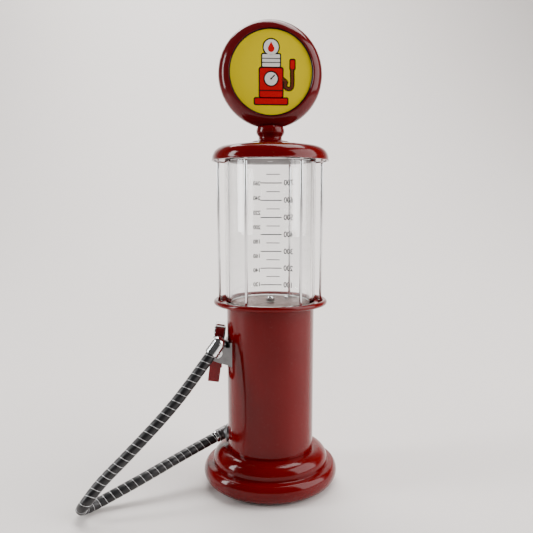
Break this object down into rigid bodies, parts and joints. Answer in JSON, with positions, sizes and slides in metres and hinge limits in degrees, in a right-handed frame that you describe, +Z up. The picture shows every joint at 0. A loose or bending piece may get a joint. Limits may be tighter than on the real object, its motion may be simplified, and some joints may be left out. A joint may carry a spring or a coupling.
{
  "type": "table-top visible fuel pump drinks dispenser",
  "caption": "Table-top drinks dispenser shaped like a vintage visible fuel pump: round base, column, clear tank with rods, domed lid with round sign, hose and trigger nozzle.",
  "frame": {"origin": "centre of the base's underside, on the table", "axes": "+Z up along the column; -Y is the front, which the sign faces; the nozzle and hose are on -X"},
  "size_m": [0.2682, 0.164, 0.4848],
  "materials": {
    "paint_red": "deep red gloss enamel",
    "sign_red": "deep red gloss moulding",
    "chrome": "polished chrome plate",
    "rod_chrome": "bright plated rod",
    "dark_nickel": "dark nickel plate",
    "steel": "zinc-plated steel",
    "floor_plate": "dull brushed plate",
    "cast_iron": "as cast",
    "tank_glass": "clear, polished",
    "rubber": "matt black",
    "silicone": "translucent white",
    "hose_black": "black hose with a silver spiral",
    "liner_black": "black moulding",
    "panel_yellow": "glossy printed yellow disc",
    "trim_black": "black ring",
    "nozzle_red": "glossy red moulding",
    "brass": "turned brass"
  },
  "bodies": {
    "pump": {"foot_ring": "rubber", "base_plate": "steel", "base_shell": "paint_red", "ballast_weight": "cast_iron", "base_screws": "steel", "column_tube": "paint_red", "tray_flange": "paint_red", "tank_floor": "floor_plate", "tank_gasket_lower": "silicone", "tank_glass": "tank_glass", "tank_gasket_upper": "silicone", "top_ring": "paint_red", "lid_seal": "silicone", "tie_rod_1": "rod_chrome", "tie_rod_2": "rod_chrome", "tie_rod_3": "rod_chrome", "tie_rod_4": "rod_chrome", "tie_rod_5": "rod_chrome", "tie_rod_6": "rod_chrome", "rod_nuts": "steel", "drain_fitting": "chrome", "drain_washer": "silicone", "drain_nut": "brass", "vent_screw": "chrome", "vent_nut": "brass", "feed_tube": "silicone", "tube_clamps": "steel", "outlet_elbow": "brass", "outlet_nut": "brass", "outlet_rosette": "dark_nickel", "outlet_ferrule": "dark_nickel", "holster_bracket": "chrome", "holster_screws": "steel", "holster_nuts": "steel"},
    "lid_assembly": {"lid": "paint_red", "lid_liner": "liner_black", "liner_screw": "steel", "neck": "paint_red", "neck_stud": "steel", "neck_nut": "steel", "sign_shell": "sign_red", "sign_panel_front": "panel_yellow", "sign_panel_rear": "panel_yellow", "panel_trim_front": "trim_black", "panel_trim_rear": "trim_black"},
    "nozzle": {"nozzle_body": "chrome", "nozzle_cap": "chrome", "grip_cover": "nozzle_red", "spout": "chrome", "hose_socket": "chrome", "trigger_guard": "nozzle_red", "trigger_pin": "steel", "valve_spring": "steel", "hose": "hose_black"},
    "trigger": {"trigger": "chrome"},
    "valve": {"valve_stem": "steel"}
  },
  "joints": [
    {"name": "lid_lift", "type": "slide", "parent": "pump", "child": "lid_assembly", "axis": [0, 0, 1], "range_m": [0, 0.12]},
    {"name": "nozzle_pull", "type": "slide", "parent": "pump", "child": "nozzle", "axis": [-0.9239, 0, 0.3827], "range_m": [0, 0.06]},
    {"name": "trigger_squeeze", "type": "hinge", "parent": "nozzle", "child": "trigger", "pos_m": [-0.05882, 0.0065, 0.13709], "axis": [-0.9903, 0, 0.1392], "range_deg": [0, 15]},
    {"name": "valve_slide", "type": "slide", "parent": "nozzle", "child": "valve", "axis": [0.1392, 0, 0.9903], "range_m": [0, 0.00209], "stiffness_N_per_m": 10, "springref_m": -0.003, "deforming": ["valve_spring"]}
  ],
  "couplings": [
    {"joint": "trigger_squeeze", "follows": "valve_slide", "rad_per_m": 125}
  ]
}
